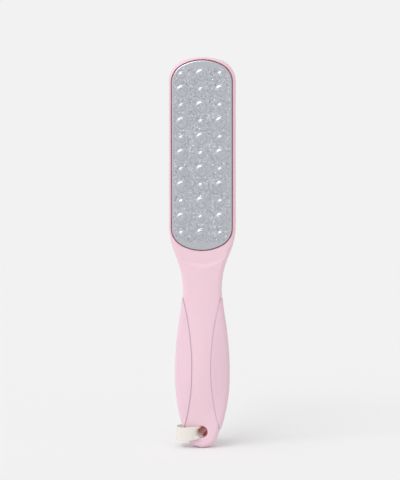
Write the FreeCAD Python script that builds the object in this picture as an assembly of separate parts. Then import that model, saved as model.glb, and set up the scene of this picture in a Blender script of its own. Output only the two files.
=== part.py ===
import FreeCAD, Part
import math
import os
from FreeCAD import Vector

# Foot file: a moulded paddle with a studded steel plate on its front, a fine pad on its back,
# two soft side grips and a ribbon loop through the hole in the end of its handle.
# All lengths are in millimetres. X runs across the paddle, the steel plate faces -Y and
# Z runs up the handle from the tip to the top of the head. The origin is under the tip.

# Flat paddle: its outline seen from the front, its depth and the rounding of its rim
overall_length = 250.0
head_width = 42.8
head_crown_radius = 38.0
head_corner_radius = 14.0
shoulder_rise = 16.5
shoulder_length = 41.5
shoulder_turn_share = 0.47
neck_width = 24.4
neck_turn_share = 0.3
belly_width = 34.0
belly_height = 46.5
tip_radius = 10.3
paddle_depth = 10.4
edge_round = 3.0

# Swell of the handle, a rounded box with crowned faces that grows out of the flat paddle between
# the hole and the plate
belly_depth = 17.6
belly_corner_round = 4.6
belly_side_flat = 1.2
neck_depth = 12.6
neck_corner_round = 3.0
neck_side_flat = 5.0
end_side_flat = 2.0
swell_cover = 0.15
swell_bury = 1.2
swell_bury_depth = 0.4
swell_foot_gap = 0.55
swell_lip_gap = 0.45
swell_steps = 36

# Curved ridge where the swell stops short of the plate
ridge_depth = 12.0
ridge_radius = 30.0
ridge_drop = 11.2
ridge_hollow_radius = 14.0
ridge_bury = 0.2
ridge_hold = 3.0

# Steel file plate, pressed from sheet with its edge turned down
plate_width = 38.6
plate_length = 121.3
plate_top_margin = 2.3
plate_crown_radius = 27.0
plate_corner_radius = 12.5
plate_sheet = 0.6
plate_skirt = 1.9
plate_edge_round = 0.9
plate_proud = 0.5
plate_gap = 0.55
recess_depth = 1.6

# Pressed buttons of the plate, in rows that alternate small and large
button_rows = 11
button_columns = 3
button_row_pitch = 10.18
button_column_pitch = 12.5
large_button_diameter = 8.3
small_button_diameter = 5.4
button_height = 0.8
button_flank = 1.5
button_turn_share = 0.5

# Mounting tape under the plate
tape_inset = 0.6

# Fine pad on the back and the film that holds it
fine_pad_thickness = 1.1
fine_film_thickness = 0.25
fine_film_inset = 0.5
fine_recess_depth = 1.0

# Soft side grips and the lugs that key them into the handle
grip_wall = 2.0
grip_proud = 0.45
grip_top_gap = 5.2
grip_bottom_height = 12.2
strip_width = 11.6
seam_gap = 0.5
seam_depth = 0.2
seam_end_margin = 0.2
seam_foot_margin = 0.45
seam_waist_rise = 4.0
pocket_clearance = 0.04
lug_diameter = 5.0
lug_length = 4.5
lug_pitch = 16.0
lug_count = 3

# Hanging hole
hole_diameter = 7.5
hole_lip_round = 0.9

# Ribbon loop, on edge, with its two ends sewn together behind the handle
ribbon_width = 8.5
ribbon_thickness = 0.5
ribbon_drop = 1.1
ribbon_hole_clearance = 0.35
ribbon_mouth_clearance = 0.4
ribbon_floor_gap = 0.3
ribbon_fall_start = 8.0
ribbon_fall_end = 28.0
ribbon_turn_share = 0.45
tack_width = 1.4
tack_height = 5.0
tack_proud = 0.35
tack_end_margin = 2.6

# Route of the ribbon seen from above: from one sewn end, round the left wall of the hole,
# along the front, back through the hole and out to the other sewn end.
ribbon_route = [
    (-4.1, 33.0),
    (-4.6, 28.5),
    (-7.2, 22.5),
    (-13.0, 13.4),
    (-16.9, 4.2),
    (-15.6, -5.6),
    (-8.9, -7.8),
    (-2.3, -6.2),
    (0.3, 4.4),
    (1.8, 12.5),
    (0.2, 20.5),
    (-3.0, 28.3),
    (-3.5, 33.0),
]

# Every cut runs this far past the face that it leaves.
overrun = 5.0

# Places that follow from the sizes above
head_half = head_width / 2
neck_half = neck_width / 2
belly_half = belly_width / 2
front_face = -paddle_depth / 2
back_face = paddle_depth / 2
plate_top = overall_length - plate_top_margin
plate_bottom = plate_top - plate_length
plate_middle = (plate_top + plate_bottom) / 2
plate_face = front_face - plate_proud
plate_under = plate_face + plate_sheet
recess_floor = front_face + recess_depth
fine_floor = back_face - fine_recess_depth
fine_seat = fine_floor + fine_film_thickness
shoulder_height = plate_bottom + shoulder_rise
neck_height = shoulder_height - shoulder_length
grip_top = neck_height - grip_top_gap
strip_half = strip_width / 2
seam_waist = belly_height + seam_waist_rise
hole_height = tip_radius
hole_radius = hole_diameter / 2
lip_radius = hole_radius + hole_lip_round
swell_foot = grip_bottom_height - swell_foot_gap
swell_rise = hole_height + lip_radius + swell_lip_gap
swell_top = plate_bottom + ridge_hold
ridge_height = plate_bottom - ridge_drop


def arc(centre_x, centre_z, radius, start, end):
    """Arc in the front view from one angle to another, in radians from +X towards +Z."""
    angles = (start, (start + end) / 2, end)
    points = [Vector(centre_x + radius * math.cos(a), 0, centre_z + radius * math.sin(a)) for a in angles]
    return Part.Arc(*points).toShape()


def run(start, end):
    """Straight edge between two points."""
    return Part.LineSegment(start, end).toShape()


def mirrored(edges):
    """The edges and their mirror images across the middle plane."""
    return edges + [e.mirror(Vector(), Vector(1, 0, 0)) for e in edges]


def closed_face(edges):
    """Flat face inside a ring of edges given in any order."""
    return Part.Face(Part.Wire(Part.__sortEdges__(edges)))


def slab(face, start_y, end_y):
    """Front-view face carried from one depth to another."""
    return face.translated(Vector(0, start_y, 0)).extrude(Vector(0, end_y - start_y, 0))


def rim_edges(solid, depth):
    """Edges of a slab that lie at one depth."""
    touch = Part.Precision.confusion()
    return [e for e in solid.Edges if all(abs(v.Y - depth) < touch for v in e.Vertexes)]


def rounded_end(half, end_z, crown, corner, way):
    """Right half of a flattened round end that closes straight sides at end_z, way +1 up or -1 down."""
    corner_x = half - corner
    crown_z = end_z - way * crown
    corner_z = crown_z + way * math.sqrt((crown - corner) ** 2 - corner_x ** 2)
    lean = math.atan2(corner_z - crown_z, corner_x)
    edges = [arc(0, crown_z, crown, way * math.pi / 2, lean), arc(corner_x, corner_z, corner, lean, 0)]
    return edges, corner_z


def turn_pair(upper_x, upper_z, lower_x, lower_z, upper_share):
    """Two tangent arcs between upright tangents, in the right half of the front view."""
    across = lower_x - upper_x
    total = (across ** 2 + (upper_z - lower_z) ** 2) / (2 * abs(across))
    turn = 2 * math.atan2(abs(across), upper_z - lower_z)
    upper = upper_share * total
    lower = total - upper
    if across < 0:
        first = arc(upper_x - upper, upper_z, upper, 0, -turn)
        second = arc(lower_x + lower, lower_z, lower, math.pi - turn, math.pi)
    else:
        first = arc(upper_x + upper, upper_z, upper, math.pi, math.pi + turn)
        second = arc(lower_x - lower, lower_z, lower, turn, 0)
    return [first, second]


def plate_outline(grow):
    """Outline of the file plate, wider all round by grow."""
    half = plate_width / 2 + grow
    crown = plate_crown_radius + grow
    corner = plate_corner_radius + grow
    top, top_side = rounded_end(half, plate_top + grow, crown, corner, 1)
    bottom, bottom_side = rounded_end(half, plate_bottom - grow, crown, corner, -1)
    side = run(Vector(half, 0, top_side), Vector(half, 0, bottom_side))
    return closed_face(mirrored(top + [side] + bottom))


def paddle_outline():
    """Outline of the paddle: head, shoulders, neck, belly and round tip."""
    top, head_side = rounded_end(head_half, overall_length, head_crown_radius, head_corner_radius, 1)
    side = run(Vector(head_half, 0, head_side), Vector(head_half, 0, shoulder_height))
    shoulder = turn_pair(head_half, shoulder_height, neck_half, neck_height, shoulder_turn_share)
    waist = turn_pair(neck_half, neck_height, belly_half, belly_height, neck_turn_share)
    rise = belly_height - hole_height
    taper = (belly_half ** 2 + rise ** 2 - tip_radius ** 2) / (2 * (belly_half - tip_radius))
    lean = math.atan2(rise, taper - belly_half)
    lower = [
        arc(belly_half - taper, belly_height, taper, 0, -lean),
        arc(0, hole_height, tip_radius, -lean, -math.pi / 2),
    ]
    return closed_face(mirrored(top + [side] + shoulder + waist + lower))


paddle_face = paddle_outline()


def half_width(height):
    """Half the width of the paddle's outline at a height."""
    line = run(Vector(-head_width, 0, height), Vector(head_width, 0, height))
    return paddle_face.common(line).Length / 2


# Heights where the swell's half depth, corner rounding, half side flat and cover of the paddle's
# side are set. Its faces lie buried in the flat paddle at both ends, up to the lip of the hole and
# over the plate, and its side follows the rounded rim at the foot.
end_depth = paddle_depth / 2 - swell_bury_depth
foot_depth = paddle_depth / 2 + swell_cover
swell_stations = [
    (swell_foot, end_depth, edge_round, end_depth - edge_round - swell_cover, swell_cover),
    (grip_bottom_height, end_depth, edge_round, end_depth - edge_round - swell_cover, swell_cover),
    (swell_rise, foot_depth, edge_round, foot_depth - edge_round - swell_cover, swell_cover),
    (belly_height, belly_depth / 2, belly_corner_round, belly_side_flat / 2, swell_cover),
    (neck_height, neck_depth / 2, neck_corner_round, neck_side_flat / 2, swell_cover),
    (ridge_height, ridge_depth / 2, neck_corner_round, neck_side_flat / 2, swell_cover),
    (plate_bottom - ridge_hold, ridge_depth / 2, neck_corner_round, neck_side_flat / 2, swell_cover),
    (swell_top, end_depth, neck_corner_round, end_side_flat / 2, -swell_bury),
]


def swell_at(height):
    """Half depth, corner rounding, half side flat and cover at a height, eased between stations."""
    for low, high in zip(swell_stations, swell_stations[1:]):
        if height <= high[0]:
            break
    share = min(max((height - low[0]) / (high[0] - low[0]), 0), 1)
    ease = share ** 2 * (3 - 2 * share)
    return [a + ease * (b - a) for a, b in zip(low[1:], high[1:])]


def level_arc(centre_x, centre_y, height, radius, start, end):
    """Arc in plan at a height, from one angle to another."""
    centre = Vector(centre_x, centre_y, height)
    angles = (start, (start + end) / 2, end)
    return Part.Arc(*[centre + Vector(math.cos(a), math.sin(a), 0) * radius for a in angles]).toShape()


def crowned_box(half, depth, corner, flat, height):
    """Level ring with flat sides and crowned front and back, joined by tangent corner arcs."""
    across = half - corner
    above = depth - flat
    crown = (across ** 2 + above ** 2 - corner ** 2) / (2 * (above - corner))
    lean = math.atan2(crown - above, across)
    right = Vector(half, 0, height)
    left = Vector(-half, 0, height)
    lift = Vector(0, flat, 0)
    return Part.Wire([
        run(right - lift, right + lift),
        level_arc(across, flat, height, corner, 0, lean),
        level_arc(0, depth - crown, height, crown, lean, math.pi - lean),
        level_arc(-across, flat, height, corner, math.pi - lean, math.pi),
        run(left + lift, left - lift),
        level_arc(-across, -flat, height, corner, math.pi, math.pi + lean),
        level_arc(0, crown - depth, height, crown, math.pi + lean, 2 * math.pi - lean),
        level_arc(across, -flat, height, corner, -lean, 0),
    ])


def swell(grow):
    """Swollen handle between its buried ends, larger all round by grow."""
    rows = []
    for i in range(swell_steps + 1):
        height = swell_foot + i / swell_steps * (swell_top - swell_foot)
        depth, corner, flat, cover = swell_at(height)
        half = half_width(height) + cover + grow
        rows.append(crowned_box(half, depth + grow, corner + grow, flat, height))
    return Part.makeLoft(rows, True, False)


def scoop(way):
    """Round dish in front of the flat paddle, way -1, or behind it, way +1. Its rising rim cuts the
    swell off in a curved ridge."""
    floor = paddle_depth / 2 - ridge_bury
    crest = math.acos(1 - (ridge_depth / 2 - floor) / ridge_hollow_radius)
    foot = ridge_radius - ridge_hollow_radius * math.sin(crest)
    far = belly_depth + overrun
    rim = [
        Vector(
            foot + ridge_hollow_radius * math.sin(a),
            way * (floor + ridge_hollow_radius * (1 - math.cos(a))),
            0,
        )
        for a in (0, crest, 2 * crest)
    ]
    edges = [
        run(Vector(0, way * floor, 0), rim[0]),
        Part.Arc(*rim).toShape(),
        run(rim[-1], Vector(rim[-1].x, way * far, 0)),
        run(Vector(rim[-1].x, way * far, 0), Vector(0, way * far, 0)),
        run(Vector(0, way * far, 0), Vector(0, way * floor, 0)),
    ]
    dish = closed_face(edges).revolve(Vector(), Vector(0, 1, 0), 360)
    return dish.translated(Vector(0, 0, ridge_height + ridge_radius))


def hole_bore(radius):
    """Round bar along the axis of the hanging hole."""
    length = belly_depth + 2 * overrun
    return Part.makeCylinder(radius, length, Vector(0, -length / 2, hole_height), Vector(0, 1, 0))


def seam_zone(side, inset):
    """Everything beyond the hourglass seam on one side, between the ends of the grip, set in by inset."""
    length = belly_depth + 2 * overrun
    halves = []
    for end_x, end, low, high in (
        (neck_half - seam_end_margin, grip_top, seam_waist, grip_top - inset),
        (half_width(grip_bottom_height) - seam_foot_margin, grip_bottom_height, grip_bottom_height, seam_waist),
    ):
        sag = end_x - strip_half
        radius = ((end - seam_waist) ** 2 + sag ** 2) / (2 * sag)
        centre = Vector(side * (strip_half + radius), -length / 2, seam_waist)
        beyond = Part.makeCylinder(radius - inset, length, centre, Vector(0, 1, 0))
        corner = Vector(-belly_width, -length / 2, low)
        halves.append(beyond.common(Part.makeBox(2 * belly_width, length, high - low, corner)))
    return halves[0].fuse(halves[1])


def lug(side, height):
    """Round lug that runs from a socket in the handle out to the grip."""
    socket = half_width(height) - grip_wall - lug_length
    foot = Vector(side * socket, 0, height)
    return Part.makeCylinder(lug_diameter / 2, lug_length + grip_wall, foot, Vector(side, 0, 0))


# Spine under the grips, with the sockets for their lugs
lug_heights = [belly_height + (i - (lug_count - 1) / 2) * lug_pitch for i in range(lug_count)]
lugs = [lug(side, height) for side in (-1, 1) for height in lug_heights]
spine = swell(-grip_wall).cut(lugs)

# Paddle body: one moulding with both recesses, the grips' pockets and the rounded hanging hole
flat_paddle = slab(paddle_face, front_face, back_face)
rims = rim_edges(flat_paddle, front_face) + rim_edges(flat_paddle, back_face)
flat_paddle = flat_paddle.makeFillet(edge_round, rims)
flat_paddle = flat_paddle.cut(hole_bore(hole_radius))
lips = [e for depth in (front_face, back_face) for e in rim_edges(flat_paddle, depth)
        if isinstance(e.Curve, Part.Circle) and e.Closed]
flat_paddle = flat_paddle.makeFillet(hole_lip_round, lips)
pockets = [seam_zone(side, 0).cut(spine) for side in (-1, 1)]
handle = swell(0).cut([scoop(-1), scoop(1), hole_bore(lip_radius + swell_lip_gap)])
paddle_body = flat_paddle.fuse(handle).cut(pockets)
paddle_body = paddle_body.cut(slab(plate_outline(plate_gap), front_face - overrun, recess_floor))
paddle_body = paddle_body.cut(slab(plate_outline(plate_gap), fine_floor, back_face + overrun))

# Soft grips, moulded into the pockets around the spine, with a shallow groove along the seam
proud = swell(grip_proud)
filling = swell(-seam_depth)
grips = []
for side in (-1, 1):
    skin = proud.common(seam_zone(side, seam_gap))
    root = filling.common(seam_zone(side, pocket_clearance))
    grips.append(skin.fuse(root).cut(spine))
grip_left, grip_right = grips


def button(diameter):
    """Round flat-topped button at the origin, with an eased flank, standing towards -Y."""
    base = diameter / 2
    top = base - button_flank
    total = (button_flank ** 2 + button_height ** 2) / (2 * button_height)
    turn = 2 * math.atan2(button_height, button_flank)
    upper = button_turn_share * total
    lower = total - upper
    crest = Vector(top, upper - button_height, 0)
    shoulder = [crest + Vector(math.sin(a), -math.cos(a), 0) * upper for a in (0, turn / 2, turn)]
    valley = Vector(base, -lower, 0)
    foot = [valley + Vector(-math.sin(a), math.cos(a), 0) * lower for a in (turn, turn / 2, 0)]
    edges = [
        run(Vector(0, -button_height, 0), shoulder[0]),
        Part.Arc(*shoulder).toShape(),
        Part.Arc(*foot).toShape(),
        run(foot[-1], Vector(base, plate_sheet / 2, 0)),
        run(Vector(base, plate_sheet / 2, 0), Vector(0, plate_sheet / 2, 0)),
        run(Vector(0, plate_sheet / 2, 0), Vector(0, -button_height, 0)),
    ]
    return closed_face(edges).revolve(Vector(), Vector(0, 1, 0), 360)


# File plate: a shallow tray with its edge turned down, and the buttons pressed out of its face
tray = slab(plate_outline(0), plate_face, plate_face + plate_skirt)
tray = tray.makeFillet(plate_edge_round, rim_edges(tray, plate_face))
hollow = slab(plate_outline(-plate_sheet), plate_under, plate_face + plate_skirt + overrun)
hollow = hollow.makeFillet(plate_edge_round - plate_sheet, rim_edges(hollow, plate_under))
large_button = button(large_button_diameter)
small_button = button(small_button_diameter)
bumps = []
for row in range(button_rows):
    for column in range(button_columns):
        shape = small_button if (row + column) % 2 == 0 else large_button
        x = (column - (button_columns - 1) / 2) * button_column_pitch
        z = plate_middle + (row - (button_rows - 1) / 2) * button_row_pitch
        bumps.append(shape.translated(Vector(x, plate_face, z)))
dents = [b.translated(Vector(0, plate_sheet, 0)) for b in bumps]
coarse_plate = tray.cut(hollow).fuse(bumps).cut(dents)

# Foam tape that fills the tray and bonds it to the floor of the recess
coarse_tape = slab(plate_outline(-plate_sheet - tape_inset), plate_under, recess_floor)

# Fine pad and the film that bonds it in the back recess
fine_pad = slab(plate_outline(0), fine_seat, fine_seat + fine_pad_thickness)
fine_film = slab(plate_outline(-fine_film_inset), fine_floor, fine_seat)


def ribbon_lane(side):
    """Edges of the ribbon's path in plan, moved sideways by side, with the radii and the length."""
    points = [Vector(x, y, 0) for x, y in ribbon_route]
    ways = [(b - a).normalize() for a, b in zip(points, points[1:])]
    runs = [(b - a).Length for a, b in zip(points, points[1:])]
    up = Vector(0, 0, 1)
    last = points[0] + up.cross(ways[0]) * side
    edges = []
    radii = []
    for i in range(1, len(points) - 1):
        back = ribbon_turn_share * min(runs[i - 1], runs[i])
        turn = ways[i - 1].getAngle(ways[i])
        radius = back / math.tan(turn / 2)
        hand = math.copysign(1, ways[i - 1].cross(ways[i]).z)
        start = points[i] - ways[i - 1] * back
        centre = start + up.cross(ways[i - 1]) * hand * radius
        first = up.cross(ways[i - 1]) * side
        second = up.cross(ways[i]) * side
        middle = (points[i] - centre).normalize() * (radius - hand * side)
        end = points[i] + ways[i] * back + second
        edges.append(run(last, start + first))
        edges.append(Part.Arc(start + first, centre + middle, end).toShape())
        radii.append(radius)
        last = end
    edges.append(run(last, points[-1] + up.cross(ways[-1]) * side))
    return edges, radii


# Ribbon: an upright band along the route, cut to its width, which falls to the floor behind the
# handle, and gathered to fit inside the hole
left_lane, left_radii = ribbon_lane(ribbon_thickness / 2)
right_lane, right_radii = ribbon_lane(-ribbon_thickness / 2)
middle_lane, ribbon_radii = ribbon_lane(0)
ends = [run(left_lane[i].Vertexes[j].Point, right_lane[i].Vertexes[j].Point) for i, j in ((0, 0), (-1, -1))]
band = closed_face(left_lane + right_lane + ends).extrude(Vector(0, 0, belly_height))
ribbon_low = hole_height - ribbon_drop - ribbon_width / 2
ribbon_far = ribbon_route[0][1]
ribbon_near = -ribbon_far
low_edge = [
    (ribbon_near, ribbon_low),
    (ribbon_fall_start, ribbon_low),
    (ribbon_fall_end, ribbon_floor_gap),
    (ribbon_far + overrun, ribbon_floor_gap),
]
corners = [(y, z) for y, z in low_edge] + [(y, z + ribbon_width) for y, z in reversed(low_edge)]
drape = Part.Face(Part.makePolygon([Vector(-head_width, y, z) for y, z in corners + corners[:1]]))
band = band.common(drape.extrude(Vector(2 * head_width, 0, 0)))
mouth = paddle_depth / 2 + ribbon_mouth_clearance
mouth_box = Part.makeBox(2 * tip_radius, 2 * mouth, belly_height, Vector(-tip_radius / 2, -mouth, 0))
band = band.cut(mouth_box.cut(hole_bore(hole_radius - ribbon_hole_clearance)))

# Bar tack: a block of thread sewn through both ends of the ribbon
tack_y = ribbon_far - tack_end_margin
tack_x = (ribbon_route[0][0] + ribbon_route[-1][0]) / 2
tack_deep = abs(ribbon_route[0][0] - ribbon_route[-1][0]) + ribbon_thickness + 2 * tack_proud
tack_low = ribbon_floor_gap + (ribbon_width - tack_height) / 2
tack_corner = Vector(tack_x - tack_deep / 2, tack_y - tack_width / 2, tack_low)
ribbon_tack = Part.makeBox(tack_deep, tack_width, tack_height, tack_corner)
ribbon_loop = band.cut(ribbon_tack)

nodes = {
    "paddle_body": paddle_body,
    "coarse_plate": coarse_plate,
    "coarse_plate_tape": coarse_tape,
    "fine_pad": fine_pad,
    "fine_pad_film": fine_film,
    "grip_left": grip_left,
    "grip_right": grip_right,
    "ribbon_loop": ribbon_loop,
    "ribbon_tack": ribbon_tack,
}
os.makedirs("parts", exist_ok=True)
for name, shape in nodes.items():
    solid = shape.Solids[0] if len(shape.Solids) == 1 else shape
    solid.exportStep(f"parts/{name}.step")
    print(name, len(shape.Solids), "solid", shape.isValid(), round(shape.Volume, 1))
ribbon_length = sum(e.Length for e in middle_lane)
print("ribbon radii", [round(r, 1) for r in ribbon_radii], "length", round(ribbon_length, 1))
whole_ribbon = ribbon_length * ribbon_width * ribbon_thickness
print("ribbon volume", round(ribbon_loop.Volume, 1), "section times length", round(whole_ribbon, 1))
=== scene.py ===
import bpy
import numpy as np
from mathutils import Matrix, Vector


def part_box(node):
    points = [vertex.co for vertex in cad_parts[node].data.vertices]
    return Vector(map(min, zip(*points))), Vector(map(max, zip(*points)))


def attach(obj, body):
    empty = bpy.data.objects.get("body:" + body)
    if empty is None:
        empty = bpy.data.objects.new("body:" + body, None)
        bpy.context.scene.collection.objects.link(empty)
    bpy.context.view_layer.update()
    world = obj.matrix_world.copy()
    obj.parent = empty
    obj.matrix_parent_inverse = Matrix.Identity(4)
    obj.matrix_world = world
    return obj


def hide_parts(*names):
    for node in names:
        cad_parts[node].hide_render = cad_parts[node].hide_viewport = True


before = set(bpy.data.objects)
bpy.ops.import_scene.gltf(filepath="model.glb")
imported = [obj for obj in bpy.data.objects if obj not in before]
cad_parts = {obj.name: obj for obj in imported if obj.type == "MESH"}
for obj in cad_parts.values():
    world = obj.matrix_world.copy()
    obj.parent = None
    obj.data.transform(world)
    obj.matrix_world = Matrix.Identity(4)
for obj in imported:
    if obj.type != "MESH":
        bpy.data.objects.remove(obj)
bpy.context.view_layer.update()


# The paddle body is one moulding in matte pale pink plastic, head, neck and handle together.
# Its skin has the fine grain of the mould, and a faint parting line runs round its edge where
# the two halves of the mould met.
BLUSH = (0.845, 0.608, 0.690, 1)
BLUSH_WARM = (0.855, 0.620, 0.698, 1)
BLUSH_SOAK = 0.3
BLUSH_SOAK_REACH = 0.002
BLUSH_SOAK_SHARES = (1.0, 0.7, 0.75)
# Painted shade: the walls of the recess round the plate are coloured dark red, as shade lit only by the pink
# plastic.
GAP_SHADE_RED = (0.78, 0.30, 0.42, 1)
GAP_MIDDLE = (0, 0, 0.18705)
GAP_CORNER, GAP_CORNER_REACH = (0.0068, 0, 0.04646), 0.0133
GAP_CROWN, GAP_CROWN_REACH = (0, 0, 0.03365), 0.0278
GAP_CROWN_HALF = 0.0095
GAP_TOP = 0.0051
NOISE_SPAN = (0.3, 0.7)
CLOUD_CELLS = 60
BLUSH_ROUGH, ROUGH_CELLS = (0.42, 0.52), 900
GRAIN_CELLS, GRAIN_DEPTH, GRAIN_STRENGTH = 4200, 0.00003, 0.25
PARTING_HALF, PARTING_RISE, PARTING_STRENGTH = 0.00012, 0.00004, 0.6


def new_finish(name):
    """Empty procedural material: gives the material, its node tree, its shader and object coordinates."""
    material = bpy.data.materials.new(name)
    material.use_nodes = True
    tree = material.node_tree
    coords = tree.nodes.new("ShaderNodeTexCoord")
    return material, tree, tree.nodes["Principled BSDF"], coords


def add(tree, kind, inputs, **settings):
    """New node: settings are its own properties, inputs its sockets, each a value or an output to link."""
    made = tree.nodes.new(kind)
    for key, value in settings.items():
        setattr(made, key, value)
    feed(tree, made, inputs)
    return made


def feed(tree, made, inputs):
    """Sets each named or numbered socket to a value, or links another node's output to it."""
    for key, value in inputs.items():
        if isinstance(value, bpy.types.NodeSocket):
            tree.links.new(value, made.inputs[key])
        else:
            made.inputs[key].default_value = value


def noise(tree, coords, scale, detail=2.0):
    """Noise at so many cells a metre on object coordinates, as a value from 0 to 1."""
    where = coords.outputs["Object"]
    made = add(tree, "ShaderNodeTexNoise", {"Vector": where, "Scale": scale, "Detail": detail})
    return made.outputs["Fac"]


def between(tree, share, low, high):
    """Number that runs from low to high as share runs over the usual span of noise."""
    start, end = NOISE_SPAN
    inputs = {"Value": share, "From Min": start, "From Max": end, "To Min": low, "To Max": high}
    return add(tree, "ShaderNodeMapRange", inputs).outputs["Result"]


def two_tone(tree, share, first, second):
    """Colour that runs from the first to the second as share runs from 0 to 1."""
    mix = add(tree, "ShaderNodeMix", {0: share, 6: first, 7: second}, data_type="RGBA")
    return mix.outputs[2]


def relief(tree, height, depth, strength, under=None):
    """Bump of so many metres from a height of 0 to 1, on top of another bump."""
    inputs = {"Height": height, "Distance": depth, "Strength": strength}
    if under is not None:
        inputs["Normal"] = under
    return add(tree, "ShaderNodeBump", inputs).outputs["Normal"]


def dress(node, material):
    """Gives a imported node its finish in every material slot."""
    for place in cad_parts[node].material_slots:
        place.material = material


def less(tree, value, limit):
    """1 where the value is under the limit, else 0."""
    return add(tree, "ShaderNodeMath", {0: value, 1: limit}, operation="LESS_THAN").outputs[0]


def product(tree, first, second):
    """First value times the second."""
    return add(tree, "ShaderNodeMath", {0: first, 1: second}, operation="MULTIPLY").outputs[0]


def front_reach(tree, where, middle):
    """Distance in the front view from a middle, counting only what lies further out than it."""
    out = add(tree, "ShaderNodeVectorMath", {0: where, 1: middle}, operation="SUBTRACT").outputs[0]
    out = add(tree, "ShaderNodeVectorMath", {0: out, 1: (0, 0, 0)}, operation="MAXIMUM").outputs[0]
    out = add(tree, "ShaderNodeVectorMath", {0: out, 1: (1, 0, 1)}, operation="MULTIPLY").outputs[0]
    return add(tree, "ShaderNodeVectorMath", {0: out}, operation="LENGTH").outputs["Value"]


def in_gap(tree, coords):
    """1 on the walls of the shallow recesses, which are painted dark red as shade lit by pink bounce light,
    else 0:
    inside the outline of straight sides, corner arcs and crown arcs, and below the face of the head."""
    where = add(tree, "ShaderNodeVectorMath", {0: coords.outputs["Object"], 1: GAP_MIDDLE},
                operation="SUBTRACT").outputs[0]
    where = add(tree, "ShaderNodeVectorMath", {0: where}, operation="ABSOLUTE").outputs[0]
    part = add(tree, "ShaderNodeSeparateXYZ", {0: where}).outputs
    sides = less(tree, front_reach(tree, where, GAP_CORNER), GAP_CORNER_REACH)
    crown = less(tree, front_reach(tree, where, GAP_CROWN), GAP_CROWN_REACH)
    crown = product(tree, crown, less(tree, part["X"], GAP_CROWN_HALF))
    either = add(tree, "ShaderNodeMath", {0: sides, 1: crown}, operation="MAXIMUM").outputs[0]
    return product(tree, either, less(tree, part["Y"], GAP_TOP))


plastic, tree, shader, coords = new_finish("blush_plastic")
split = add(tree, "ShaderNodeSeparateXYZ", {0: coords.outputs["Object"]})
depth = add(tree, "ShaderNodeMath", {0: split.outputs["Y"]}, operation="ABSOLUTE").outputs[0]
line = {"Value": depth, "From Max": PARTING_HALF, "To Min": 1.0, "To Max": 0.0}
line = add(tree, "ShaderNodeMapRange", line).outputs["Result"]
grain = relief(tree, noise(tree, coords, GRAIN_CELLS), GRAIN_DEPTH, GRAIN_STRENGTH)
skin = two_tone(tree, noise(tree, coords, CLOUD_CELLS, 4), BLUSH, BLUSH_WARM)
feed(tree, shader, {
    "Base Color": two_tone(tree, in_gap(tree, coords), skin, GAP_SHADE_RED),
    "Roughness": between(tree, noise(tree, coords, ROUGH_CELLS, 3), *BLUSH_ROUGH),
    "Normal": relief(tree, line, PARTING_RISE, PARTING_STRENGTH, grain),
    "Subsurface Weight": BLUSH_SOAK,
    "Subsurface Scale": BLUSH_SOAK_REACH,
    "Subsurface Radius": BLUSH_SOAK_SHARES,
})
dress("paddle_body", plastic)


# The file plate is pressed from thin steel sheet: its edge is turned down into the recess and
# its 33 round buttons are pressed out from behind. The face is etched, so it is matt and bluish.
STEEL = (0.55, 0.575, 0.615, 1)
STEEL_DULL = (0.49, 0.513, 0.548, 1)
STEEL_ROUGH = (0.21, 0.28)
MOTTLE_CELLS, HAZE_CELLS = 1300, 700
ETCH_CELLS, ETCH_DEPTH, ETCH_STRENGTH = 1250.0, 0.00006, 0.35

steel, tree, shader, coords = new_finish("etched_steel")
cells = add(tree, "ShaderNodeTexVoronoi", {"Vector": coords.outputs["Object"], "Scale": ETCH_CELLS})
etch = relief(tree, cells.outputs["Distance"], ETCH_DEPTH, ETCH_STRENGTH)
feed(tree, shader, {
    "Base Color": two_tone(tree, noise(tree, coords, MOTTLE_CELLS, 3), STEEL_DULL, STEEL),
    "Metallic": 1.0,
    "Roughness": between(tree, noise(tree, coords, HAZE_CELLS, 3), *STEEL_ROUGH),
    "Normal": etch,
})
dress("coarse_plate", steel)


# The rasp teeth are thousands of tiny points that the etching leaves standing on the face of
# the plate and on the flat tops of its buttons. They are part of the steel.
PLATE_HALF = 0.0193
PLATE_MIDDLE = 0.18705
PLATE_HALF_LENGTH = 0.06065
PLATE_FACE = -0.0057
PLATE_CROWN = 0.027
PLATE_CORNER = 0.0125
ROW_PITCH = 0.01018
COLUMN_PITCH = 0.0125
LARGE_BASE, SMALL_BASE = 0.00415, 0.0027
BUTTON_FLANK = 0.0015
BUTTON_HEIGHT = 0.0008
TOOTH_PITCH = 0.0012
TOOTH_HALF = 0.00055
TOOTH_HEIGHT = 0.00032
TOOTH_BRIGHT = (0.92, 0.94, 0.97, 1)
TOOTH_DARK = (0.15, 0.16, 0.175, 1)
TOOTH_BURY = 0.00004
BARE_FROM = 0.0555
TOOTH_JITTER = 0.00012
TOOTH_ROUGH = (0.26, 0.36)
TOOTH_WIDTHS, TOOTH_HEIGHTS = (0.7, 1.1), (0.4, 1.2)
# Each tooth's tone is random, and its tip is painted lighter than its feet: a painted glint.
FOOT_TONES, TIP_GLINT = (0.0, 0.68), 0.3
TOP_TONE, TOP_CONTRAST = 0.28, 0.35
TOP_CLEAR, FOOT_CLEAR, EDGE_CLEAR = 0.0001, 0.0005, 0.0013
LAST_ROW, LAST_COLUMN = 5, 1


def plate_margin(x, z):
    """How far inside the plate's outline each point lies: the least of its distances to the straight
    sides, to the flat crown arc at the nearer end and, beside that arc, to the corner arc."""
    x, up = np.abs(x), np.abs(z - PLATE_MIDDLE)
    crown_z = PLATE_HALF_LENGTH - PLATE_CROWN
    corner_x = PLATE_HALF - PLATE_CORNER
    corner_z = crown_z + np.sqrt((PLATE_CROWN - PLATE_CORNER) ** 2 - corner_x ** 2)
    crown = PLATE_CROWN - np.hypot(x, up - crown_z)
    corner = PLATE_CORNER - np.hypot(x - corner_x, up - corner_z)
    beside = (x > corner_x) & (up > corner_z) & (x * (corner_z - crown_z) > (up - crown_z) * corner_x)
    return np.where(up < corner_z, PLATE_HALF - x, np.where(beside, corner, crown))


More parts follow.
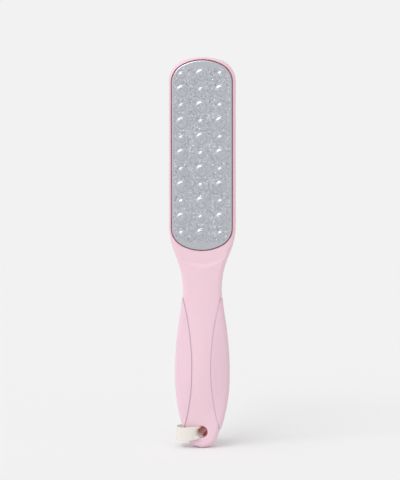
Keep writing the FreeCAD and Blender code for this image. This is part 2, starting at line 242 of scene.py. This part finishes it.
def rasp_teeth():
    """Four-sided points on a honeycomb grid, each jittered a little: corners at a half width round
    the centre, sunk just under the steel, and a tip one tooth height above it."""
    draw = np.random.default_rng(11)
    row, column = np.mgrid[-60:61, -17:18]
    x = (column + 0.5 * (row % 2)) * TOOTH_PITCH
    z = PLATE_MIDDLE + row * TOOTH_PITCH * np.sqrt(0.75)
    x = (x + draw.normal(0, TOOTH_JITTER, x.shape)).ravel()
    z = (z + draw.normal(0, TOOTH_JITTER, z.shape)).ravel()
    button_row = np.clip(np.round((z - PLATE_MIDDLE) / ROW_PITCH), -LAST_ROW, LAST_ROW)
    button_column = np.clip(np.round(x / COLUMN_PITCH), -LAST_COLUMN, LAST_COLUMN)
    base = np.where((button_row + button_column) % 2 == 0, SMALL_BASE, LARGE_BASE)
    away = np.hypot(x - button_column * COLUMN_PITCH, z - PLATE_MIDDLE - button_row * ROW_PITCH)
    top = away < base - BUTTON_FLANK - TOP_CLEAR
    keep = (plate_margin(x, z) > EDGE_CLEAR) & (top | (away > base + FOOT_CLEAR))
    keep &= np.abs(z - PLATE_MIDDLE) < BARE_FROM
    x, z, top = x[keep], z[keep], top[keep]
    face = PLATE_FACE - np.where(top, BUTTON_HEIGHT, 0)
    half = TOOTH_HALF * draw.uniform(*TOOTH_WIDTHS, x.shape)
    tall = TOOTH_HEIGHT * draw.uniform(*TOOTH_HEIGHTS, x.shape)
    turn = draw.uniform(0, np.pi / 2, x.shape)[:, None] + np.arange(4) * np.pi / 2
    corners = np.stack([
        x[:, None] + half[:, None] * np.cos(turn),
        np.repeat(face[:, None] + TOOTH_BURY, 4, axis=1),
        z[:, None] + half[:, None] * np.sin(turn),
    ], axis=-1)
    tips = np.stack([x, face - tall, z], axis=-1)[:, None]
    points = np.concatenate([corners, tips], axis=1)
    sides = np.array([[0, 1, 4], [1, 2, 4], [2, 3, 4], [3, 0, 4], [1, 0, 3], [1, 3, 2]])
    faces = np.arange(len(x))[:, None, None] * 5 + sides
    tone = draw.uniform(*FOOT_TONES, (len(x), 1))
    tone = np.where(top[:, None], TOP_TONE + TOP_CONTRAST * (tone - TOP_TONE), tone)
    # The tip takes the tooth's random tone lifted higher, a painted glint.
    tones_with_glint = np.c_[np.repeat(tone, 4, axis=1), tone + TIP_GLINT]
    return points.reshape(-1, 3), faces.reshape(-1, 3), tones_with_glint.ravel()


def new_piece(name, points, faces, material, slot, body, smooth=True):
    """Piece at the origin from its points and faces, with its finish, riding on a body."""
    mesh = bpy.data.meshes.new(name)
    mesh.from_pydata(points.tolist(), [], faces.tolist())
    mesh.materials.append(material)
    mesh.polygons.foreach_set("use_smooth", np.full(len(mesh.polygons), smooth))
    mesh.update()
    piece = bpy.data.objects.new(name, mesh)
    bpy.context.scene.collection.objects.link(piece)
    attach(piece, body)
    return piece


tooth_steel, tree, shader, coords = new_finish("tooth_steel")
tone = add(tree, "ShaderNodeAttribute", {}, attribute_name="tone").outputs["Fac"]
feed(tree, shader, {
    "Base Color": two_tone(tree, tone, TOOTH_DARK, TOOTH_BRIGHT),
    "Metallic": 1.0,
    "Roughness": between(tree, noise(tree, coords, HAZE_CELLS, 3), *TOOTH_ROUGH),
})
tooth_points, tooth_faces, tooth_tones_with_glint = rasp_teeth()
teeth = new_piece("rasp_teeth", tooth_points, tooth_faces, tooth_steel, "steel", "file", smooth=False)
teeth.data.attributes.new("tone", "FLOAT", "POINT").data.foreach_set("value", tooth_tones_with_glint)


# Foam tape fills the tray of the plate and bonds it to the floor of the recess. Only its thin
# edge could ever be seen.
FOAM_DULL, FOAM = (0.72, 0.72, 0.70, 1), (0.80, 0.80, 0.78, 1)
FOAM_ROUGH = 0.85
FOAM_CELLS = 2500
PIT_CELLS, PIT_DEPTH, PIT_STRENGTH = 3000, 0.0001, 0.5

foam, tree, shader, coords = new_finish("white_foam")
feed(tree, shader, {
    "Base Color": two_tone(tree, noise(tree, coords, FOAM_CELLS), FOAM_DULL, FOAM),
    "Roughness": FOAM_ROUGH,
    "Normal": relief(tree, noise(tree, coords, PIT_CELLS, 4), PIT_DEPTH, PIT_STRENGTH),
})
dress("coarse_plate_tape", foam)


# The fine pad on the back is abrasive paper on a thin board, with grey mineral grains bonded
# to its face, and it is glued into a shallow recess.
EMERY_DARK, EMERY_LIGHT = (0.46, 0.44, 0.45, 1), (0.68, 0.65, 0.66, 1)
EMERY_ROUGH, EMERY_CELLS = (0.55, 0.85), 2600
GRIT_CELLS, GRIT_DEPTH, GRIT_STRENGTH = 3200.0, 0.00015, 0.8
GRIT_TONES = (0.2, 0.9)

emery, tree, shader, coords = new_finish("fine_emery")
grit = add(tree, "ShaderNodeTexVoronoi", {"Vector": coords.outputs["Object"], "Scale": GRIT_CELLS})
speck = {"Value": grit.outputs["Color"], "From Min": GRIT_TONES[0], "From Max": GRIT_TONES[1]}
speck = add(tree, "ShaderNodeMapRange", speck).outputs["Result"]
feed(tree, shader, {
    "Base Color": two_tone(tree, speck, EMERY_DARK, EMERY_LIGHT),
    "Roughness": between(tree, noise(tree, coords, EMERY_CELLS), *EMERY_ROUGH),
    "Normal": relief(tree, grit.outputs["Distance"], GRIT_DEPTH, GRIT_STRENGTH),
})
dress("fine_pad", emery)


# The film under the fine pad is a thin layer of glue, yellowish and a little glossy. It is pressed
# into the shallow recess first, and only its edge could ever be seen.
FILM_DULL, FILM = (0.70, 0.68, 0.60, 1), (0.78, 0.76, 0.68, 1)
FILM_ROUGH = (0.25, 0.40)
FILM_CELLS, SMEAR_CELLS = 800, 500

film, tree, shader, coords = new_finish("glue_film")
feed(tree, shader, {
    "Base Color": two_tone(tree, noise(tree, coords, FILM_CELLS), FILM_DULL, FILM),
    "Roughness": between(tree, noise(tree, coords, SMEAR_CELLS), *FILM_ROUGH),
})
dress("fine_pad_film", film)


# The two side grips are soft elastomer in the same pink, moulded into their pockets, a little
# more matt than the body and slightly proud of it.
GRIP = (0.84, 0.60, 0.69, 1)
GRIP_COOL = (0.825, 0.59, 0.685, 1)
GRIP_ROUGH, GRIP_ROUGH_CELLS = (0.55, 0.68), 1500
GRIP_CLOUD_CELLS = 80
SKIN_CELLS, SKIN_DEPTH, SKIN_STRENGTH = 2600, 0.00004, 0.3

soft, tree, shader, coords = new_finish("soft_grip")
skin = relief(tree, noise(tree, coords, SKIN_CELLS, 3), SKIN_DEPTH, SKIN_STRENGTH)
feed(tree, shader, {
    "Base Color": two_tone(tree, noise(tree, coords, GRIP_CLOUD_CELLS, 4), GRIP, GRIP_COOL),
    "Roughness": between(tree, noise(tree, coords, GRIP_ROUGH_CELLS, 3), *GRIP_ROUGH),
    "Normal": skin,
    "Subsurface Weight": BLUSH_SOAK,
    "Subsurface Scale": BLUSH_SOAK_REACH,
    "Subsurface Radius": BLUSH_SOAK_SHARES,
})
dress("grip_left", soft)
dress("grip_right", soft)


# The hanging loop is a flat woven ribbon in undyed cream. It goes through the hole, gathered into
# a pleat there, round the left side of the tip, and its ends are sewn together behind. Inside the
# hole its face has painted shade, dark red as if lit only by the pink walls, with the pleat's crest left lit.
RIBBON_WIDTH = 0.0085
RIBBON_HALF_THICK = 0.00021
RIBBON_SELVEDGE = 0.00006
GATHER_TURN = 1.25
GATHER_REACH = 0.0092
GATHER_EASE = 0.0042
HOLE = np.array([-0.001, 0, 0.0103])
PLEAT_START, PLEAT_END = -0.0045, 0.0085
PLEAT_LOW, PLEAT_LOW_AT = -0.42, 0.0006
PLEAT_CLIMB = 119
PLEAT_HALF = 0.42
PLEAT_RISE = 0.0017
PLEAT_EASE = 0.002
PLEAT_LIT = 0.85
SHADE_START, SHADE_START_EASE = -0.0045, 0.004
SHADE_END, SHADE_END_EASE = 0.0100, 0.003
RIBBON_STEPS, RIBBON_ACROSS = 401, 29
SELVEDGE_SHARE = 0.07
LEAST_BEND = 0.02
RIPPLE, RIPPLE_PITCH = 0.00012, 0.0031
WEFT_PITCH, WARP_PITCH = 0.00042, 0.00026
WEAVE_DEPTH, WEAVE_STRENGTH = 0.00008, 0.6
CREAM_ROUGH, CREAM_ROUGH_CELLS = (0.60, 0.80), 3000
CREAM_SHEEN = 0.25
CREAM_SOAK, CREAM_SOAK_REACH, CREAM_SOAK_SHARES = 0.5, 0.0015, (1.0, 0.9, 0.75)
CREAM = (0.88, 0.85, 0.78, 1)
CREAM_SHADE = (0.80, 0.76, 0.67, 1)
# Painted shade, dark red, on the ribbon's face inside the hole.
CREAM_HOLE_SHADE = (0.70, 0.14, 0.14, 1)
ROUTE = np.array([
    (-0.0041, 0.0330, 0.00455),
    (-0.0046, 0.0285, 0.00455),
    (-0.0072, 0.0225, 0.0058),
    (-0.0130, 0.0134, 0.0080),
    (-0.0169, 0.0042, 0.0090),
    (-0.0156, -0.0056, 0.0090),
    (-0.0089, -0.0078, 0.0092),
    (-0.0025, -0.0068, 0.0101),
    (-0.0021, -0.0002, 0.0102),
    (0.0009, 0.0045, 0.0102),
    (0.0048, 0.0086, 0.0098),
    (0.0070, 0.0112, 0.0090),
    (0.0056, 0.0162, 0.0078),
    (0.0014, 0.0226, 0.0060),
    (-0.0030, 0.0283, 0.00455),
    (-0.0035, 0.0330, 0.00455),
])


def ribbon_line():
    """Points at even distances along the smooth curve that has the route as its control points,
    and how far along it each one is."""
    curve = bpy.data.curves.new("ribbon_route", "CURVE")
    curve.dimensions = "3D"
    spline = curve.splines.new("NURBS")
    spline.points.add(len(ROUTE) - 1)
    spline.points.foreach_set("co", np.c_[ROUTE, np.ones(len(ROUTE))].ravel())
    spline.order_u = 3
    spline.use_endpoint_u = True
    spline.resolution_u = 40
    holder = bpy.data.objects.new("ribbon_route", curve)
    line = bpy.data.meshes.new_from_object(holder)
    points = np.empty(3 * len(line.vertices))
    line.vertices.foreach_get("co", points)
    points = points.reshape(-1, 3)
    bpy.data.objects.remove(holder)
    bpy.data.curves.remove(curve)
    bpy.data.meshes.remove(line)
    reach = np.r_[0, np.cumsum(np.linalg.norm(np.diff(points, axis=0), axis=1))]
    even = np.linspace(0, reach[-1], RIBBON_STEPS)
    return np.stack([np.interp(even, reach, points[:, k]) for k in range(3)], axis=1), even


def smooth_step(share):
    """Eases from 0 to 1 as share runs from 0 to 1."""
    share = np.clip(share, 0, 1)
    return share ** 2 * (3 - 2 * share)


def ribbon_band(points, reach):
    """Band on edge along the points: across its width it is flat, or near the hole bent to an arc whose
    ends turn towards the middle of the hole. Inside the hole a pleat, a bell curve across the width,
    climbs along it. Both faces lie half a thickness off, more at the selvedge."""
    along = np.gradient(points, axis=0)
    along /= np.linalg.norm(along, axis=1, keepdims=True)
    side = np.cross([0, 0, 1], along)
    side /= np.linalg.norm(side, axis=1, keepdims=True)
    rise = np.cross(along, side)
    middle = reach[np.argmin(np.linalg.norm(points - HOLE, axis=1))]
    gather = smooth_step((GATHER_REACH - np.abs(reach - middle)) / GATHER_EASE)
    bend = GATHER_TURN * gather[:, None] + LEAST_BEND
    share = np.linspace(-1, 1, RIBBON_ACROSS)
    share = np.r_[share, share[::-1]][None, :]
    face = np.repeat([1.0, -1.0], RIBBON_ACROSS)[None, :]
    thick = RIBBON_HALF_THICK + RIBBON_SELVEDGE * np.exp(-((1 - np.abs(share)) / SELVEDGE_SHARE) ** 2)
    radius = RIBBON_WIDTH / 2 / bend
    ripple = RIPPLE * np.sin(reach / RIPPLE_PITCH)[:, None] * share ** 3
    away = radius * (np.cos(bend * share) - np.sin(bend) / bend) + ripple
    high = radius * np.sin(bend * share)
    away = away + face * thick * np.cos(bend * share)
    high = high + face * thick * np.sin(bend * share)
    past = (reach - middle)[:, None]
    pleat = np.exp(-((share - PLEAT_LOW - PLEAT_CLIMB * (past - PLEAT_LOW_AT)) / PLEAT_HALF) ** 2)
    pleat *= smooth_step((past - PLEAT_START) / PLEAT_EASE) * smooth_step((PLEAT_END - past) / PLEAT_EASE)
    away = away - PLEAT_RISE * pleat
    band = points[:, None] + away[..., None] * side[:, None] + high[..., None] * rise[:, None]
    count = share.size
    rows, ring = np.mgrid[0:len(points) - 1, 0:count]
    onward = (ring + 1) % count
    quads = np.stack([rows * count + ring, rows * count + onward,
                      (rows + 1) * count + onward, (rows + 1) * count + ring], axis=-1).reshape(-1, 4)
    half = np.arange(RIBBON_ACROSS - 1)
    cap = np.stack([half, half + 1, count - 2 - half, count - 1 - half], axis=-1)
    faces = np.concatenate([quads, cap[:, ::-1], cap + (len(points) - 1) * count])
    where = np.stack(np.broadcast_arrays(reach[:, None], share * RIBBON_WIDTH / 2), axis=-1)
    # Share of painted shade inside the hole, on the face seen from the front; the pleat's crest is spared, a
    # painted highlight.
    hole_shade = smooth_step((past - SHADE_START) / SHADE_START_EASE) * smooth_step((SHADE_END - past) / SHADE_END_EASE)
    hole_shade = hole_shade * (face < 0) * (1 - PLEAT_LIT * pleat)
    return band.reshape(-1, 3), faces, where.reshape(-1, 2), hole_shade.ravel()


weave, tree, shader, coords = new_finish("cream_weave")
place = add(tree, "ShaderNodeSeparateXYZ", {0: coords.outputs["UV"]})
ribs = product(tree, place.outputs["X"], 2 * np.pi / WEFT_PITCH)
ribs = add(tree, "ShaderNodeMath", {0: ribs}, operation="SINE").outputs[0]
yarns = product(tree, place.outputs["Y"], 2 * np.pi / WARP_PITCH)
yarns = add(tree, "ShaderNodeMath", {0: yarns}, operation="SINE").outputs[0]
cloth = {"Value": product(tree, ribs, yarns), "From Min": -1.0, "From Max": 1.0}
cloth = add(tree, "ShaderNodeMapRange", cloth).outputs["Result"]
hole_shade = add(tree, "ShaderNodeAttribute", {}, attribute_name="hole_shade").outputs["Fac"]
yarn = two_tone(tree, cloth, CREAM_SHADE, CREAM)
feed(tree, shader, {
    "Base Color": two_tone(tree, hole_shade, yarn, CREAM_HOLE_SHADE),
    "Roughness": between(tree, noise(tree, coords, CREAM_ROUGH_CELLS), *CREAM_ROUGH),
    "Sheen Weight": CREAM_SHEEN,
    "Subsurface Weight": CREAM_SOAK,
    "Subsurface Scale": CREAM_SOAK_REACH,
    "Subsurface Radius": CREAM_SOAK_SHARES,
    "Normal": relief(tree, cloth, WEAVE_DEPTH, WEAVE_STRENGTH),
})

ribbon_points, ribbon_reach = ribbon_line()
band, band_faces, band_where, band_hole_shade = ribbon_band(ribbon_points, ribbon_reach)
ribbon = new_piece("ribbon", band, band_faces, weave, "ribbon", "ribbon")
corners = np.empty(len(ribbon.data.loops), int)
ribbon.data.loops.foreach_get("vertex_index", corners)
ribbon.data.uv_layers.new(name="cloth").data.foreach_set("uv", band_where[corners].ravel())
ribbon.data.attributes.new("hole_shade", "FLOAT", "POINT").data.foreach_set("value", band_hole_shade)
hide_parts("ribbon_loop")


# The bar tack is a close zigzag of cotton thread, sewn through both ends of the ribbon to make
# it a loop.
TACK_LOW, TACK_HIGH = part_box("ribbon_tack")
THREADS, THREAD_STEPS, THREAD_AROUND = 13, 10, 48
THREAD_CORE, THREAD_LEAN = 0.86, 0.00012
TACK_ROUNDING, TACK_SQUARENESS, TACK_FILL = 40, 0.6, 0.96
THREAD_DARK, THREAD_LIGHT = (0.70, 0.66, 0.58, 1), (0.80, 0.77, 0.70, 1)
THREAD_ROUGH, THREAD_CELLS = (0.6, 0.8), 4000
TWIST_CELLS, TWIST_DEPTH, TWIST_STRENGTH = 900.0, 0.00006, 0.6


def bar_tack():
    """Rounded block whose skin swells and narrows once for each thread, closed over at both ends:
    a flattened ring carried up the block, its size a row of half circles."""
    low, high = np.array(TACK_LOW), np.array(TACK_HIGH)
    middle, half = (low + high) / 2, (high - low) / 2
    up = np.linspace(0, 1, THREADS * THREAD_STEPS + 1)[:, None]
    around = np.linspace(0, 2 * np.pi, THREAD_AROUND + 1)[None, :-1]
    ridge = np.abs(np.sin(np.pi * THREADS * up)) ** 0.5
    size = THREAD_CORE + (1 - THREAD_CORE) * ridge
    size = size * np.minimum(1, np.sqrt(np.minimum(up, 1 - up) * TACK_ROUNDING + 1e-4))
    across, back = np.cos(around), np.sin(around)
    x = middle[0] + half[0] * size * np.sign(across) * np.abs(across) ** TACK_SQUARENESS
    y = middle[1] + half[1] * size * np.sign(back) * np.abs(back) ** TACK_SQUARENESS
    z = middle[2] + half[2] * (2 * up - 1) * TACK_FILL + THREAD_LEAN * back
    points = np.stack(np.broadcast_arrays(x, y, z), axis=-1)
    rows, count = points.shape[:2]
    row, ring = np.mgrid[0:rows - 1, 0:count]
    onward = (ring + 1) % count
    quads = np.stack([row * count + ring, row * count + onward,
                      (row + 1) * count + onward, (row + 1) * count + ring], axis=-1)
    low_end = np.arange(count // 2 - 1)
    cap = np.stack([low_end, low_end + 1, count - 2 - low_end, count - 1 - low_end], axis=-1)
    faces = np.concatenate([quads.reshape(-1, 4), cap[:, ::-1], cap + (rows - 1) * count])
    return points.reshape(-1, 3), faces


thread, tree, shader, coords = new_finish("cotton_thread")
twist = {"Vector": coords.outputs["Object"], "Scale": TWIST_CELLS, "Distortion": 2.0}
twist = add(tree, "ShaderNodeTexWave", twist).outputs["Fac"]
feed(tree, shader, {
    "Base Color": two_tone(tree, twist, THREAD_DARK, THREAD_LIGHT),
    "Roughness": between(tree, noise(tree, coords, THREAD_CELLS), *THREAD_ROUGH),
    "Normal": relief(tree, twist, TWIST_DEPTH, TWIST_STRENGTH),
})
tack = new_piece("bar_tack", *bar_tack(), thread, "thread", "ribbon")
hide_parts("ribbon_tack")


# Plain pale floor, so wide that its far edge meets the background unseen.
FLOOR = (0.925, 0.925, 0.925, 1)
FLOOR_HALF = 30.0

paper, tree, shader, coords = new_finish("pale_floor")
feed(tree, shader, {"Base Color": FLOOR, "Roughness": 1.0, "Specular IOR Level": 0.0})
corner = np.array([(-1, -1, 0), (1, -1, 0), (1, 1, 0), (-1, 1, 0)]) * FLOOR_HALF
mesh = bpy.data.meshes.new("floor")
mesh.from_pydata(corner.tolist(), [], [(0, 1, 2, 3)])
mesh.materials.append(paper)
floor = bpy.data.objects.new("floor", mesh)
bpy.context.scene.collection.objects.link(floor)


# Soft studio light: two lamps high in front on the left, a broad screen further left, and an even
# pale room all round. Each row gives a light's strength, spread, turn to the left and rise.
KEYS = {
    "key_lamp": (0.52, 26.0, 20.0, 41.0),
    "side_lamp": (0.38, 26.0, 50.0, 41.0),
    "key_screen": (0.31, 70.0, 62.0, 42.0),
}
ROOM_LIGHT = 0.704
ROOM_SEEN = 0.888

for name, (strength, *angles) in KEYS.items():
    spread, turn, rise = np.radians(angles)
    light = bpy.data.lights.new(name, "SUN")
    light.energy = strength
    light.angle = spread
    holder = bpy.data.objects.new(name, light)
    holder.rotation_euler = (np.pi / 2 - rise, 0, -turn)
    bpy.context.scene.collection.objects.link(holder)

world = bpy.data.worlds.new("pale_room")
bpy.context.scene.world = world
world.use_nodes = True
tree = world.node_tree
tree.nodes.clear()
ray = tree.nodes.new("ShaderNodeLightPath")
seen = ray.outputs["Is Camera Ray"]
for kind in ("Is Glossy Ray", "Is Transmission Ray"):
    seen = add(tree, "ShaderNodeMath", {0: seen, 1: ray.outputs[kind]}, operation="MAXIMUM").outputs[0]
glow = add(tree, "ShaderNodeBackground", {"Strength": ROOM_LIGHT, "Color": (1, 1, 1, 1)})
pale = add(tree, "ShaderNodeBackground", {"Strength": ROOM_SEEN, "Color": (1, 1, 1, 1)})
mix = add(tree, "ShaderNodeMixShader", {0: seen, 1: glow.outputs[0], 2: pale.outputs[0]})
add(tree, "ShaderNodeOutputWorld", {"Surface": mix.outputs[0]})


# Camera: level at half the file's height, a little to the right of its front.
AZIMUTH = np.radians(5.0)
DISTANCE = 0.73
EYE_HEIGHT = 0.1329
LENS, SENSOR, SHIFT = 85.2, 36.0, -0.005
NEAREST = 0.01
camera = bpy.data.cameras.new("front_camera")
camera.lens = LENS
camera.sensor_width = SENSOR
camera.shift_x = SHIFT
camera.clip_start = NEAREST
holder = bpy.data.objects.new("front_camera", camera)
holder.location = (DISTANCE * np.sin(AZIMUTH), -DISTANCE * np.cos(AZIMUTH), EYE_HEIGHT)
holder.rotation_euler = (np.pi / 2, 0, AZIMUTH)
bpy.context.scene.collection.objects.link(holder)
bpy.context.scene.camera = holder
bpy.context.scene.view_settings.view_transform = "Standard"
